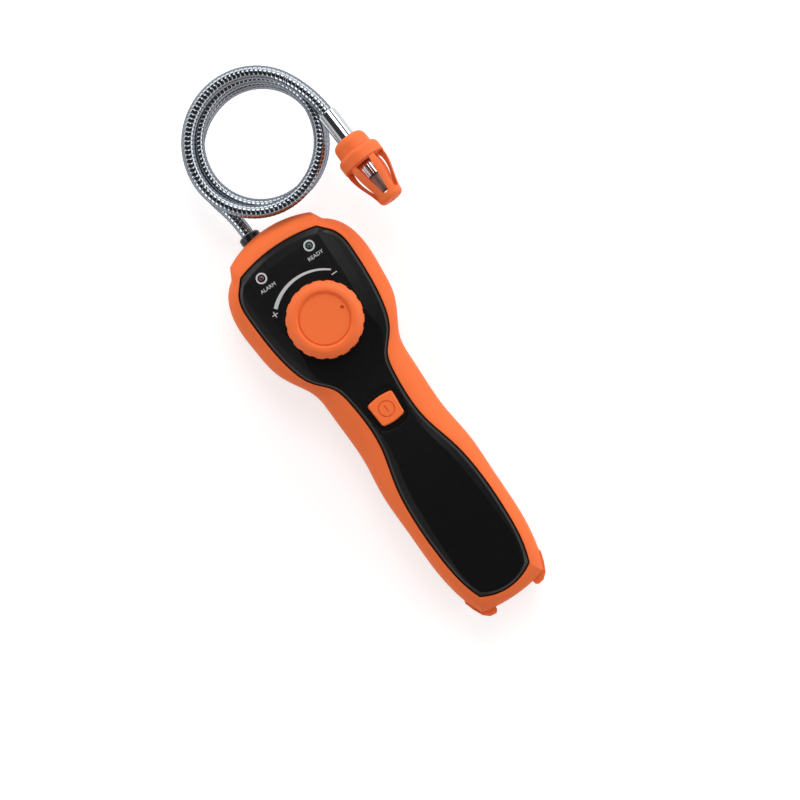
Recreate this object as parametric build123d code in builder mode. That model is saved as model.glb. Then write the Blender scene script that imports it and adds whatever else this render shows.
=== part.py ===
from build123d import *
import os
from math import cos, radians, sin

# Handheld combustible gas detector lying on its back, sizes in millimetres.
# +Z is the normal of the face, +Y runs towards the neck and +X to the right of the face.
# The origin is on the flat back, straight behind the axis of the dial.

# Housing outline: half widths, and distances along Y from the dial axis
top_y = 51.9
bottom_y = -155.5
shoulder_half = 22.9
shoulder_y = 46.4
notch_half = 25.8
notch_y = 40.8
head_half = 36.0
head_y = 19.5
waist_y = -25.0
handle_half = 22.9
handle_y = -66.0
foot_half = 24.7
foot_y = -102.0
corner_half = 17.6
corner_y = -153.5
outline_round = 2.2

# Black face outline
face_top_y = 41.3
face_bottom_y = -149.5
face_shoulder_half = 21.2
face_shoulder_y = 38.2
face_notch_half = 25.0
face_notch_y = 34.0
face_head_half = 29.0
face_handle_half = 12.5
face_foot_half = 18.9
face_corner_half = 13.9
face_corner_y = -145.4

# Heights above the table
split_z = 18.0
bumper_low_z = 4.0
widest_z = 20.0
bumper_top_z = 34.0
bevel_low_z = 33.4
bevel_width = 2.8
bevel_high_z = 36.4
facet_z = 36.0
fold_half = 25.6
strip_half = 20.3
fold_inset = 4.6
plateau_z = 37.2
dish_z = 35.1
handle_ridge_z = 36.0

# Walls and clearances
bumper_wall = 2.4
shell_wall = 2.0
skin_gap = 0.15
move_gap = 0.3
fit_gap = 0.05
floor_wall = 2.4
back_inset = 5.5

# Dial and potentiometer
dial_radius = 18.1
dial_gap = 0.4
dial_height = 6.4
disc_radius = 12.2
disc_drop = 0.9
notch_count = 18
notch_depth = 1.2
notch_width = 1.8
dot_radius = 0.85
dot_depth = 0.9
dot_offset = 9.7
hub_radius = 4.6
shaft_radius = 3.0
shaft_flat = 1.5
pot_radius = 8.25
pot_height = 7.5

# Lamps
lamp_x = 13.3
lamp_y = 32.3
lamp_radius = 1.5
lamp_rim = 1.95
lamp_proud = 0.9
lamp_hole_gap = 0.3

# Power button
button_y = -49.6
button_length = 13.4
button_top_width = 13.6
button_low_width = 11.9
button_bow = 0.9
button_top_z = 36.7
button_travel = 0.8
surround_half = 9.7
surround_taper = 1.1
surround_bow = 2.2
surround_length = 20.0
surround_z = 34.7
symbol_radius = 3.9
symbol_line = 0.5
symbol_bar = 3.3
symbol_depth = 0.35

# Grip pockets and corner guards of the bumper
pocket_count = 4
pocket_x = 20.6
pocket_y = -62.0
pocket_z = 30.2
pocket_pitch = 8.4
pocket_length = 8.6
pocket_width = 3.4
guard_low_z = 9.0
guard_top_z = 25.0
corner_guard_points = [
    (10.4, bottom_y + 3.5),
    (10.6, bottom_y - 0.3),
    (11.8, bottom_y - 1.5),
    (15.0, bottom_y - 1.1),
    (corner_half + 0.2, corner_y - 0.7),
    (corner_half + 2.4, corner_y + 4.0),
    (corner_half + 3.8, corner_y + 8.5),
    (corner_half + 0.4, corner_y + 8.5),
]

# Circuit board
board_low_z = 20.2
board_thickness = 1.6
board_half = 22.0
board_top_y = 36.0
board_tail_half = 13.0
board_tail_y = -62.0
post_radius = 2.6
post_screw_radius = 1.1
post_screw_head = 2.1
post_screw_height = 1.4
sounder_radius = 11.0
sounder_y = 26.0
connector_place = (-8.0, 29.0)
post_places = [(-17.5, 14.0), (17.5, 14.0), (0.0, -26.0)]

# Batteries
cell_radius = 7.25
cell_length = 49.5
nub_radius = 2.75
nub_length = 1.0
cell_gap = 0.15
bay_top_y = -38.5
bay_length = 107.0
bay_wall = 1.5
door_half = 16.0
door_thickness = 2.0
door_end_gap = 2.5
lip_width = 1.0
lip_height = 0.9

# Screws
screw_places = [(-25.5, 24.0), (25.5, 24.0), (-25.5, -6.0), (25.5, -6.0), (-12.0, -148.4), (12.0, -148.4)]
screw_head_radius = 2.4
screw_head_height = 1.8
screw_radius = 1.25
screw_seat_z = 8.0
screw_tip_z = 24.0
boss_radius = 3.2

# Neck and gland
neck_radius = 3.15
neck_x = -7.3
neck_z = 18.0
gland_radius = 5.25
gland_sleeve = 4.2
gland_seat_y = 51.0
gland_top_y = 54.4
gland_low_y = 41.0
pad_y = 44.8
pad_half = 7.2
nut_flats = 11.0
nut_length = 3.4
coil_x = 21.9
coil_y = 85.2
turn_radii = (28.9, 29.2, 28.7, 29.0, 30.2, 28.7, 29.9, 33.6, 32.4)
turn_rise = 6.5
flare_turn = 30.0
flare_tuck = 2.2
flare_rise = 1.5

# Probe
probe_x = 54.6
probe_y = 78.0
tube_radius = 4.55
tube_length = 15.1
tube_socket = 5.0
collar_radius = 8.3
collar_length = 7.9
ring_radius = 10.65
ring_length = 6.0
guard_length = 21.5
guard_tip_radius = 6.1
guard_wall = 1.7
rib_count = 6
rib_width = 3.0
rib_turn = 8.0
can_radius = 2.9
can_length = 9.4
element_radius = 2.5
element_length = 8.4

os.makedirs("parts", exist_ok=True)


def finish(piece, name):
    piece.part.label = name
    export_step(piece.part, f"parts/{name}.step")


# Right side of the widest outline, from the notch under the shoulder down to the bottom corner
outer_side = [
    (notch_half, notch_y),
    (head_half - 3.1, notch_y - 7.9),
    (head_half, head_y),
    (head_half - 0.6, head_y - 13.0),
    (head_half - 2.6, waist_y + 18.0),
    ((head_half + handle_half) / 2 - 1.2, waist_y + 7.4),
    (handle_half + 1.5, waist_y),
    (handle_half + 0.1, waist_y - 13.0),
    (handle_half, handle_y),
    (foot_half - 0.1, handle_y - 14.0),
    (foot_half, foot_y),
    (foot_half - 0.3, foot_y - 20.0),
    (foot_half - 2.1, corner_y + 15.5),
    (corner_half, corner_y),
]

# The same stations on the edge of the black face
face_side = [
    (face_notch_half, face_notch_y),
    (face_head_half - 1.0, face_notch_y - 5.0),
    (face_head_half, head_y - 0.5),
    (face_head_half - 0.5, head_y - 13.0),
    (face_head_half - 2.4, waist_y + 17.0),
    ((face_head_half + face_handle_half) / 2 + 0.7, waist_y + 4.0),
    (face_handle_half + 2.3, waist_y - 4.0),
    (face_handle_half, waist_y - 13.0),
    (face_handle_half, handle_y + 2.0),
    (face_foot_half - 2.3, handle_y - 14.5),
    (face_foot_half - 0.1, foot_y + 4.0),
    (face_foot_half - 0.2, foot_y - 18.0),
    (face_foot_half - 2.0, face_corner_y + 9.9),
    (face_corner_half, face_corner_y),
]


def between(low, high, share):
    return low + (high - low) * share


# A level of the housing: share 0 is the widest outline, share 1 the face outline, both drawn in by inset
def level(height, share, inset, shoulder_round=0):
    side = []
    for outer, face in zip(outer_side, face_side):
        side.append((between(outer[0], face[0], share) - inset, between(outer[1], face[1], share)))
    side[-1] = (side[-1][0], side[-1][1] + inset)
    top = between(top_y, face_top_y, share) - inset
    shoulder = (
        between(shoulder_half, face_shoulder_half, share) - inset,
        between(shoulder_y, face_shoulder_y, share) - inset,
    )
    bottom = between(bottom_y, face_bottom_y, share) + inset
    mirrored = [(-x, y) for x, y in reversed(side)]
    with BuildSketch(Plane.XY.offset(height)) as section:
        with BuildLine():
            ThreePointArc((-shoulder[0], shoulder[1]), (0, top), shoulder)
            Line(shoulder, side[0])
            Spline(*side)
            ThreePointArc(side[-1], (0, bottom), mirrored[0])
            Spline(*mirrored)
            Line(mirrored[-1], (-shoulder[0], shoulder[1]))
        make_face()
        if shoulder_round:
            fillet(section.vertices().sort_by(Axis.Y)[-2:], shoulder_round)
    return section.sketch


# Outside of both shells, and with no gap the inside of the bumper
def shell_levels(gap):
    inset = bumper_wall + gap
    return [
        level(0, 0, back_inset + gap),
        level(1.5, 0, back_inset - 1.9 + gap),
        level(bumper_low_z, 0, inset + 0.1),
        level(bumper_low_z + 5.0, 0, inset),
        level(split_z, 0, inset),
        level(widest_z + 6.0, 0.22, inset - 0.2),
        level(bumper_top_z - 3.0, 0.72, inset - 1.5),
    ]


# A fold line of the face: it runs straight up at the top and follows the face outline below the dial
def fold_level(height, top_half, inset):
    side = [(x - inset, y) for x, y in face_side[2:]]
    side[-1] = (side[-1][0], side[-1][1] + inset)
    side.insert(0, (top_half, shoulder_y))
    mirrored = [(-x, y) for x, y in reversed(side)]
    with BuildSketch(Plane.XY.offset(height)) as section:
        with BuildLine():
            ThreePointArc(mirrored[-1], (0, top_y), side[0])
            Spline(*side)
            ThreePointArc(side[-1], (0, face_bottom_y + inset), mirrored[0])
            Spline(*mirrored)
        make_face()
    return section.sketch


# Power button outline, wider at the top, with bowed ends
def button_outline(plane, grow):
    top = button_y + button_length / 2 + grow
    low = button_y - button_length / 2 - grow
    top_half = button_top_width / 2 + grow
    low_half = button_low_width / 2 + grow
    with BuildSketch(plane) as section:
        with BuildLine():
            ThreePointArc((-top_half, top - button_bow), (0, top), (top_half, top - button_bow))
            Line((top_half, top - button_bow), (low_half, low + button_bow))
            ThreePointArc((low_half, low + button_bow), (0, low), (-low_half, low + button_bow))
            Line((-low_half, low + button_bow), (-top_half, top - button_bow))
        make_face()
        fillet(section.vertices(), 1.4)
    return section.sketch


# Housing

boss_places = screw_places[:4]
foot_places = screw_places[4:]
board_top_z = board_low_z + board_thickness

# The core that shapes the inside of the front shell, with its bosses and posts left standing
inside = bumper_wall + shell_wall + skin_gap
nut_room = nut_flats / 2 / cos(radians(30.0)) + move_gap
with BuildPart() as front_core:
    loft(
        sections=[
            level(split_z, 0, inside),
            level(split_z + 6.0, 0.12, inside - 0.1),
            level(split_z + 10.5, 0.42, inside - 0.6),
            level(split_z + 13.5, 0.85, inside - 1.2),
            level(bevel_low_z - 0.4, 1.0, inside - 2.0),
        ]
    )
    with BuildSketch(Plane.XY.offset(bevel_low_z - 3.0)):
        with Locations((0, 3.0)):
            Circle(dial_radius)
    extrude(amount=4.4)
    with BuildSketch(Plane.XY.offset(split_z)):
        with Locations(*screw_places):
            Circle(boss_radius)
    extrude(amount=plateau_z - split_z, mode=Mode.SUBTRACT)
    with BuildSketch(Plane.XY.offset(board_top_z)):
        with Locations(*post_places):
            Circle(post_radius)
    extrude(amount=plateau_z - board_top_z, mode=Mode.SUBTRACT)
    with BuildSketch(Plane.XZ.offset(-pad_y)) as nut_pocket:
        with Locations((neck_x, neck_z)):
            Circle(nut_room)
    extrude(amount=2 * nut_length)
    with BuildSketch(Plane.XZ.offset(-pad_y)):
        with Locations((neck_x, neck_z)):
            Rectangle(2 * pad_half, 2 * pad_half)
    extrude(amount=-10.0, mode=Mode.SUBTRACT)

# Two facets each side of the flat middle of the face
with BuildPart() as folds:
    loft(
        sections=[
            fold_level(facet_z - 1.5, face_head_half + 1.2, -0.5),
            fold_level(facet_z, fold_half, fold_inset),
            fold_level(plateau_z, strip_half, 2 * fold_inset + 0.2),
        ],
        ruled=True,
    )
    extrude(fold_level(facet_z - 1.5, face_head_half + 1.2, -0.5), amount=bevel_low_z - 2.0 - facet_z)

# Side view of the face: level round the dial, dished at the waist, lifting again along the handle
with BuildPart() as profile:
    with BuildSketch(Plane.YZ):
        with BuildLine():
            Polyline((0, plateau_z), (face_notch_y, plateau_z), (top_y, plateau_z - 0.9), (top_y, split_z))
            Polyline((top_y, split_z), (bottom_y, split_z), (bottom_y, handle_ridge_z - 0.7))
            Spline(
                (bottom_y, handle_ridge_z - 0.7),
                (foot_y, handle_ridge_z),
                (handle_y, handle_ridge_z - 0.2),
                (waist_y - 10.0, dish_z),
                (waist_y + 5.0, dish_z + 0.7),
                (-9.0, plateau_z - 0.3),
                (0, plateau_z),
                tangents=((1, 0), (1, 0)),
            )
        make_face()
    extrude(amount=head_half, both=True)

with BuildPart() as shell_form:
    loft(sections=shell_levels(skin_gap))

with BuildPart() as front_shell:
    loft(sections=[level(bevel_low_z, 1, 0), level(bevel_high_z, 1, bevel_width)], ruled=True)
    extrude(level(bevel_high_z, 1, bevel_width), amount=4.0)
    add(folds.part, mode=Mode.INTERSECT)
    add(profile.part, mode=Mode.INTERSECT)
    extrude(level(bumper_top_z - 4.5, 1, 0), amount=bevel_low_z - bumper_top_z + 4.5)
    add(shell_form.part)
    split(bisect_by=Plane.XY.offset(split_z), keep=Keep.TOP)
    add(front_core.part, mode=Mode.SUBTRACT)
    with BuildSketch(Plane.XY.offset(split_z)):
        with Locations((-lamp_x, lamp_y), (lamp_x, lamp_y)):
            Circle(lamp_radius + lamp_hole_gap)
        Circle(hub_radius + move_gap)
    extrude(amount=dial_radius + split_z, mode=Mode.SUBTRACT)
    with BuildSketch(Plane.XY.offset(surround_z)) as surround:
        with BuildLine():
            reach = surround_length / 2
            end_reach = reach - surround_bow
            top_half = surround_half - surround_taper
            low_half = top_half - 1.0
            ThreePointArc((-top_half, button_y + end_reach), (0, button_y + reach), (top_half, button_y + end_reach))
            Line((top_half, button_y + end_reach), (surround_half, button_y + 2.0))
            Line((surround_half, button_y + 2.0), (low_half, button_y - end_reach))
            ThreePointArc((low_half, button_y - end_reach), (0, button_y - reach), (-low_half, button_y - end_reach))
            Line((-low_half, button_y - end_reach), (-surround_half, button_y + 2.0))
            Line((-surround_half, button_y + 2.0), (-top_half, button_y + end_reach))
        make_face()
        fillet(surround.vertices(), 1.6)
    extrude(amount=4.0, mode=Mode.SUBTRACT)
    extrude(button_outline(Plane.XY.offset(split_z), move_gap), amount=dial_radius, mode=Mode.SUBTRACT)
    with BuildSketch(Plane.XY.offset(split_z)):
        with Locations(*screw_places):
            Circle(screw_radius + fit_gap)
    extrude(amount=screw_tip_z - split_z + 0.5, mode=Mode.SUBTRACT)
    with BuildSketch(Plane.XY.offset(board_top_z)):
        with Locations(*post_places):
            Circle(post_screw_radius + fit_gap)
    extrude(amount=6.0, mode=Mode.SUBTRACT)
    with BuildSketch(Plane.XZ.offset(-gland_low_y)):
        with Locations((neck_x, neck_z)):
            Circle(gland_sleeve + 0.1)
    extrude(amount=-15.0, mode=Mode.SUBTRACT)
finish(front_shell, "front_shell")

# Rear shell: rounded back, battery bay under a roof, screw bosses and sound slots
with BuildPart() as rear_form:
    add(shell_form.part)
    split(bisect_by=Plane.XY.offset(split_z), keep=Keep.BOTTOM)

bay_low_y = bay_top_y - bay_length
bay_half = 2 * (cell_radius + cell_gap) + 0.3
bay_roof_z = door_thickness + 0.75 + 2 * cell_radius + 0.25
with BuildPart() as rear_core:
    loft(
        sections=[
            level(floor_wall, 0, inside + 1.8),
            level(floor_wall + 2.4, 0, inside + 0.3),
            level(split_z, 0, inside),
        ]
    )
    with BuildSketch(Plane.XY.offset(floor_wall)):
        with Locations(*boss_places):
            Circle(boss_radius + 0.7)
    extrude(amount=split_z, mode=Mode.SUBTRACT)
    with BuildSketch(Plane.XY.offset(4.2)):
        with Locations(*foot_places):
            Circle(boss_radius)
        with Locations((0, bay_low_y + bay_length / 2)):
            Rectangle(2 * (bay_half + bay_wall), bay_length + 2 * bay_wall)
    extrude(amount=split_z, mode=Mode.SUBTRACT)
    extrude(nut_pocket.sketch, amount=2 * nut_length)
    with BuildSketch(Plane.XZ.offset(-pad_y)):
        with Locations((neck_x, neck_z)):
            Rectangle(2 * pad_half, 2 * pad_half)
    extrude(amount=-10.0, mode=Mode.SUBTRACT)

with BuildPart() as rear_shell:
    add(rear_form.part)
    add(rear_core.part, mode=Mode.SUBTRACT)
    with BuildSketch(Plane.XY.offset(split_z - 0.6)):
        with Locations((0, bay_low_y + bay_length / 2)):
            Rectangle(2 * bay_half - 4.0, bay_length - 9.0)
    extrude(amount=1.2)
    with BuildSketch(Plane.XY):
        with Locations((0, bay_low_y + bay_length / 2)):
            Rectangle(2 * bay_half, bay_length)
    extrude(amount=bay_roof_z, mode=Mode.SUBTRACT)
    door_slot = bay_top_y + door_end_gap - bottom_y
    with BuildSketch(Plane.XY):
        with Locations((0, bottom_y + door_slot / 2)):
            Rectangle(2 * (door_half + move_gap), door_slot)
    extrude(amount=floor_wall + 0.1, mode=Mode.SUBTRACT)
    lip_top_z = floor_wall + move_gap + lip_height
    with BuildSketch(Plane.XY.offset(floor_wall)):
        with Locations((0, bottom_y + door_slot / 2)):
            Rectangle(2 * (door_half + lip_width + move_gap), door_slot)
    extrude(amount=lip_top_z + move_gap - floor_wall, mode=Mode.SUBTRACT)
    with BuildSketch(Plane.XY):
        with Locations(*screw_places):
            Circle(screw_head_radius + move_gap)
    extrude(amount=screw_seat_z, mode=Mode.SUBTRACT)
    with BuildSketch(Plane.XY):
        with Locations(*screw_places):
            Circle(screw_radius + 0.2)
    extrude(amount=split_z, mode=Mode.SUBTRACT)
    with BuildSketch(Plane.XY):
        with Locations((0, sounder_y)):
            with GridLocations(0, 3.4, 1, 5):
                SlotOverall(15.0, 1.6)
    extrude(amount=floor_wall + 0.1, mode=Mode.SUBTRACT)
    with BuildSketch(Plane.XZ.offset(-gland_low_y)):
        with Locations((neck_x, neck_z)):
            Circle(gland_sleeve + 0.1)
    extrude(amount=-15.0, mode=Mode.SUBTRACT)
finish(rear_shell, "rear_shell")

# Soft bumper moulded round the edge, with grip pockets, a spot face for the gland and two corner feet
with BuildPart() as bumper:
    loft(
        sections=[
            level(bumper_low_z, 0, 1.6, outline_round),
            level(bumper_low_z + 5.0, 0, 0.3, outline_round),
            level(widest_z, 0, 0, outline_round),
            level(widest_z + 7.0, 0.14, 0, outline_round),
            level(bumper_top_z - 2.5, 0.45, 0, outline_round),
            level(bumper_top_z, 0.93, 0, outline_round),
        ]
    )
    for side in (-1, 1):
        with BuildSketch(Plane.XY.offset(guard_low_z)) as corner_guard:
            with BuildLine():
                Polyline([(side * x, y) for x, y in corner_guard_points], close=True)
            make_face()
            fillet(corner_guard.vertices().sort_by(Axis.Y)[:4], 1.2)
        extrude(amount=guard_top_z - guard_low_z)
    loft(sections=shell_levels(0), mode=Mode.SUBTRACT)
    extrude(level(bumper_top_z - 5.0, 1, -skin_gap), amount=10.0, mode=Mode.SUBTRACT)
    for side in (-1, 1):
        for step in range(pocket_count):
            lean = Plane(
                origin=(side * pocket_x, pocket_y + pocket_pitch * step, pocket_z),
                x_dir=(side * 0.7, 0, -0.7),
                z_dir=(side * 0.7, 0, 0.7),
            )
            with BuildSketch(lean):
                with Locations(Location((0, 0, 0), (0, 0, 32.0))):
                    SlotOverall(pocket_length, pocket_width)
            extrude(amount=3.0, mode=Mode.SUBTRACT)
    with BuildSketch(Plane.XZ.offset(-gland_seat_y)):
        with Locations((neck_x, neck_z)):
            Circle(gland_radius + 0.1)
    extrude(amount=-6.0, mode=Mode.SUBTRACT)
    with BuildSketch(Plane.XZ.offset(-gland_low_y)):
        with Locations((neck_x, neck_z)):
            Circle(gland_sleeve + 0.1)
    extrude(amount=-15.0, mode=Mode.SUBTRACT)
finish(bumper, "bumper")

# Battery door: follows the rounded back, slides off towards the foot end on two hooked rails
door_top_y = bay_top_y + door_end_gap - move_gap
with BuildPart() as battery_door:
    add(rear_form.part)
    with BuildSketch(Plane.XY):
        with Locations((0, (door_top_y + bottom_y) / 2)):
            Rectangle(2 * door_half, door_top_y - bottom_y)
    extrude(amount=door_thickness, mode=Mode.INTERSECT)
    for side in (-1, 1):
        with BuildSketch(Plane.XZ.offset(-door_top_y + 6.0)):
            with BuildLine():
                Polyline(
                    (side * (door_half - 1.2), door_thickness),
                    (side * door_half, door_thickness),
                    (side * door_half, floor_wall + move_gap),
                    (side * (door_half + lip_width), floor_wall + move_gap),
                    (side * (door_half + lip_width), lip_top_z),
                    (side * (door_half - 1.2), lip_top_z),
                    close=True,
                )
            make_face()
        extrude(amount=bay_length - 14.0)
    with BuildSketch(Plane.XY):
        with Locations((0, door_top_y - 14.0)):
            with GridLocations(0, 2.4, 1, 5):
                SlotOverall(15.0, 1.1)
    extrude(amount=0.6, mode=Mode.SUBTRACT)
finish(battery_door, "battery_door")

# Neck gland, clamped through the end wall by a hexagon nut
with BuildPart() as neck_gland:
    with BuildSketch(Plane.XY.offset(neck_z)):
        with BuildLine():
            Polyline(
                (neck_x + neck_radius + 0.15, gland_low_y),
                (neck_x + gland_sleeve, gland_low_y),
                (neck_x + gland_sleeve, gland_seat_y),
                (neck_x + gland_radius, gland_seat_y),
                (neck_x + gland_radius, gland_top_y - 0.8),
                (neck_x + gland_radius - 0.8, gland_top_y),
                (neck_x + neck_radius + 0.15, gland_top_y),
                close=True,
            )
        make_face()
    revolve(axis=Axis((neck_x, 0, neck_z), (0, 1, 0)))
finish(neck_gland, "neck_gland")

with BuildPart() as neck_nut:
    with BuildSketch(Plane.XZ.offset(-pad_y)):
        with Locations((neck_x, neck_z)):
            RegularPolygon(nut_flats / 2, 6, major_radius=False)
            Circle(gland_sleeve + fit_gap, mode=Mode.SUBTRACT)
    extrude(amount=nut_length)
finish(neck_nut, "neck_nut")

# Case screws, all alike
with BuildPart() as case_screws:
    with BuildSketch(Plane.XY.offset(screw_seat_z - screw_head_height)):
        with Locations(*screw_places):
            Circle(screw_head_radius)
    extrude(amount=screw_head_height)
    with BuildSketch(Plane.XY.offset(screw_seat_z)):
        with Locations(*screw_places):
            Circle(screw_radius)
    extrude(amount=screw_tip_z - screw_seat_z)
    with BuildSketch(Plane.XY.offset(screw_seat_z - screw_head_height)):
        with Locations(*screw_places):
            Rectangle(3.0, 0.7)
            Rectangle(0.7, 3.0)
    extrude(amount=1.0, mode=Mode.SUBTRACT)
finish(case_screws, "case_screws")

# Circuit board hung from the posts of the front shell
with BuildPart() as main_board:
    with BuildSketch(Plane.XY.offset(board_low_z)) as board_shape:
        with BuildLine():
            Polyline(
                (-board_half, board_top_y),
                (board_half, board_top_y),
                (board_half, -12.0),
                (board_tail_half, -26.0),
                (board_tail_half, board_tail_y),
                (-board_tail_half, board_tail_y),
                (-board_tail_half, -26.0),
                (-board_half, -12.0),
                close=True,
            )
        make_face()
        fillet(board_shape.vertices(), 1.5)
        with Locations(*post_places):
            Circle(post_screw_radius + 0.2, mode=Mode.SUBTRACT)
    extrude(amount=board_thickness)
finish(main_board, "main_board")

with BuildPart() as board_screws:
    with BuildSketch(Plane.XY.offset(board_low_z - post_screw_height)):
        with Locations(*post_places):
            Circle(post_screw_head)
    extrude(amount=post_screw_height)
    with BuildSketch(Plane.XY.offset(board_low_z)):
        with Locations(*post_places):
            Circle(post_screw_radius)
    extrude(amount=board_thickness + 5.0)
finish(board_screws, "board_screws")

with BuildPart() as control_chips:
    with BuildSketch(Plane.XY.offset(board_low_z - 1.5)):
        with Locations((6.0, 20.0), (-9.0, -2.0)):
            Rectangle(9.0, 6.0)
        with Locations((9.0, -4.0)):
            Rectangle(5.0, 4.0)
    extrude(amount=1.5)
finish(control_chips, "control_chips")

with BuildPart() as sensor_connector:
    with BuildSketch(Plane.XY.offset(board_low_z - 5.5)):
        with Locations(connector_place):
            Rectangle(8.0, 5.5)
    extrude(amount=5.5)
    with BuildSketch(Plane.XY.offset(board_low_z - 5.5)):
        with Locations(connector_place):
            Rectangle(6.4, 3.9)
    extrude(amount=4.0, mode=Mode.SUBTRACT)
finish(sensor_connector, "sensor_connector")

# Potentiometer on the board, its shaft carrying the dial
pot_top_z = board_top_z + pot_height
with BuildPart() as pot_body:
    with BuildSketch(Plane.XY.offset(board_top_z)):
        Circle(pot_radius)
    extrude(amount=pot_height)
    with BuildSketch(Plane.XY.offset(pot_top_z)):
        Circle(shaft_radius + 1.1)
    extrude(amount=2.4)
    with BuildSketch(Plane.XY.offset(board_top_z + 1.0)):
        Circle(shaft_radius + fit_gap)
    extrude(amount=pot_height + 2.0, mode=Mode.SUBTRACT)
finish(pot_body, "pot_body")

dial_low_z = plateau_z + dial_gap
dial_top_z = dial_low_z + dial_height
with BuildPart() as pot_shaft:
    with BuildSketch(Plane.XY.offset(board_top_z + 1.0 + fit_gap)):
        Circle(shaft_radius)
    extrude(amount=dial_top_z - 3.0 - board_top_z)
    with BuildSketch(Plane.XY.offset(pot_top_z + 2.7)):
        with Locations((shaft_radius + shaft_flat, 0)):
            Rectangle(2 * shaft_radius, 4 * shaft_radius)
    extrude(amount=dial_height + dial_radius, mode=Mode.SUBTRACT)
finish(pot_shaft, "pot_shaft")

# Dial: notched edge, sloping ring, sunk flat disc with a dot, hollow underneath round a hub
with BuildPart() as dial:
    with BuildSketch(Plane.XZ):
        with BuildLine():
            rim = dial_top_z - 0.1
            Polyline((0, dial_low_z + 1.9), (15.2, dial_low_z + 1.9), (15.8, dial_low_z), (dial_radius - 0.4, dial_low_z))
            Polyline((dial_radius - 0.4, dial_low_z), (dial_radius, dial_low_z + 0.4), (dial_radius, dial_low_z + 2.6))
            Spline(
                (dial_radius, dial_low_z + 2.6),
                (dial_radius - 0.9, dial_low_z + 4.5),
                (dial_radius - 3.0, rim - 0.2),
                (disc_radius + 0.9, rim),
                tangents=((0, 1), (-1, 0)),
            )
            Polyline(
                (disc_radius + 0.9, rim),
                (disc_radius, rim - disc_drop - 0.3),
                (disc_radius - 0.5, rim - disc_drop - 0.3),
                (disc_radius - 0.7, rim - disc_drop),
                (0, rim - disc_drop),
                (0, dial_low_z + 1.9),
            )
        make_face()
    revolve(axis=Axis.Z)
    with BuildSketch(Plane.XY.offset(pot_top_z + 3.0)):
        Circle(hub_radius)
    extrude(amount=dial_low_z + 2.0 - pot_top_z - 3.0)
    with BuildSketch(Plane.XY.offset(pot_top_z + 2.9)) as bore:
        Circle(shaft_radius + fit_gap)
        with Locations((shaft_radius + fit_gap + shaft_flat, 0)):
            Rectangle(2 * shaft_radius, 4 * shaft_radius, mode=Mode.SUBTRACT)
    extrude(amount=dial_top_z - 1.9 - pot_top_z - 2.9, mode=Mode.SUBTRACT)
    with BuildSketch(Plane.XY.offset(dial_low_z - 0.1)):
        with PolarLocations(dial_radius, notch_count, start_angle=-1.8):
            with Locations((0.3, 0)):
                with Locations(Location((0, 0, 0), (0, 0, 180))):
                    Triangle(c=notch_width + 0.6, a=notch_depth + 1.4, b=notch_depth + 1.4, rotation=90)
    extrude(amount=dial_height, mode=Mode.SUBTRACT)
    with BuildSketch(Plane.XY.offset(rim - disc_drop - dot_depth)):
        with Locations((dot_offset, 0)):
            Circle(dot_radius)
    extrude(amount=2 * dot_depth, mode=Mode.SUBTRACT)
finish(dial, "dial")

# Lamps: 3 mm domes on legs, alarm on the left and ready on the right
lamp_base_z = 29.5
for side, name in ((-1, "alarm_lamp"), (1, "ready_lamp")):
    with BuildPart() as lamp:
        lamp_tip_z = plateau_z + lamp_proud
        with BuildSketch(Plane.XZ.offset(-lamp_y)):
            with BuildLine():
                start = side * lamp_x
                Polyline(
                    (start, lamp_tip_z),
                    (start, lamp_base_z),
                    (start + lamp_rim, lamp_base_z),
                    (start + lamp_rim, lamp_base_z + 1.0),
                    (start + lamp_radius, lamp_base_z + 1.0),
                    (start + lamp_radius, lamp_tip_z - lamp_radius),
                )
                RadiusArc((start + lamp_radius, lamp_tip_z - lamp_radius), (start, lamp_tip_z), -lamp_radius)
            make_face()
        revolve(axis=Axis((side * lamp_x, lamp_y, 0), (0, 0, 1)))
        with BuildSketch(Plane.XY.offset(board_top_z)):
            with Locations((side * lamp_x - 1.27, lamp_y), (side * lamp_x + 1.27, lamp_y)):
                Rectangle(0.5, 0.5)
        extrude(amount=lamp_base_z - board_top_z)
    finish(lamp, name)

# Power button, held under the face by a flange, and the switch below it
button_flange_z = bevel_low_z - 0.4 - move_gap
switch_height = 3.6
with BuildPart() as power_button:
    extrude(button_outline(Plane.XY.offset(button_flange_z), 0), amount=button_top_z - button_flange_z)
    fillet(power_button.faces().sort_by(Axis.Z)[-1].edges(), 0.8)
    extrude(button_outline(Plane.XY.offset(button_flange_z - 1.2), 1.1), amount=1.2)
    with BuildSketch(Plane.XY.offset(board_top_z + switch_height + 1.2)):
        with Locations((0, button_y)):
            Circle(2.6)
    extrude(amount=button_flange_z - board_top_z - switch_height - 1.2)
    with BuildSketch(Plane.XY.offset(button_top_z - symbol_depth)):
        with Locations((0, button_y)):
            Circle(symbol_radius)
            Circle(symbol_radius - symbol_line, mode=Mode.SUBTRACT)
            Rectangle(symbol_line, symbol_bar)
    extrude(amount=1.0, mode=Mode.SUBTRACT)
finish(power_button, "power_button")

with BuildPart() as tact_switch:
    with BuildSketch(Plane.XY.offset(board_top_z)):
        with Locations((0, button_y)):
            Rectangle(6.2, 6.2)
    extrude(amount=switch_height)
    with BuildSketch(Plane.XY.offset(board_top_z + 1.6)):
        with Locations((0, button_y)):
            Circle(1.8)
    extrude(amount=switch_height, mode=Mode.SUBTRACT)
finish(tact_switch, "tact_switch")

with BuildPart() as switch_plunger:
    with BuildSketch(Plane.XY.offset(board_top_z + 1.6 + button_travel + 0.2)):
        with Locations((0, button_y)):
            Circle(1.75)
    extrude(amount=switch_height - 0.4 - button_travel - 0.2)
finish(switch_plunger, "switch_plunger")

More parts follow.
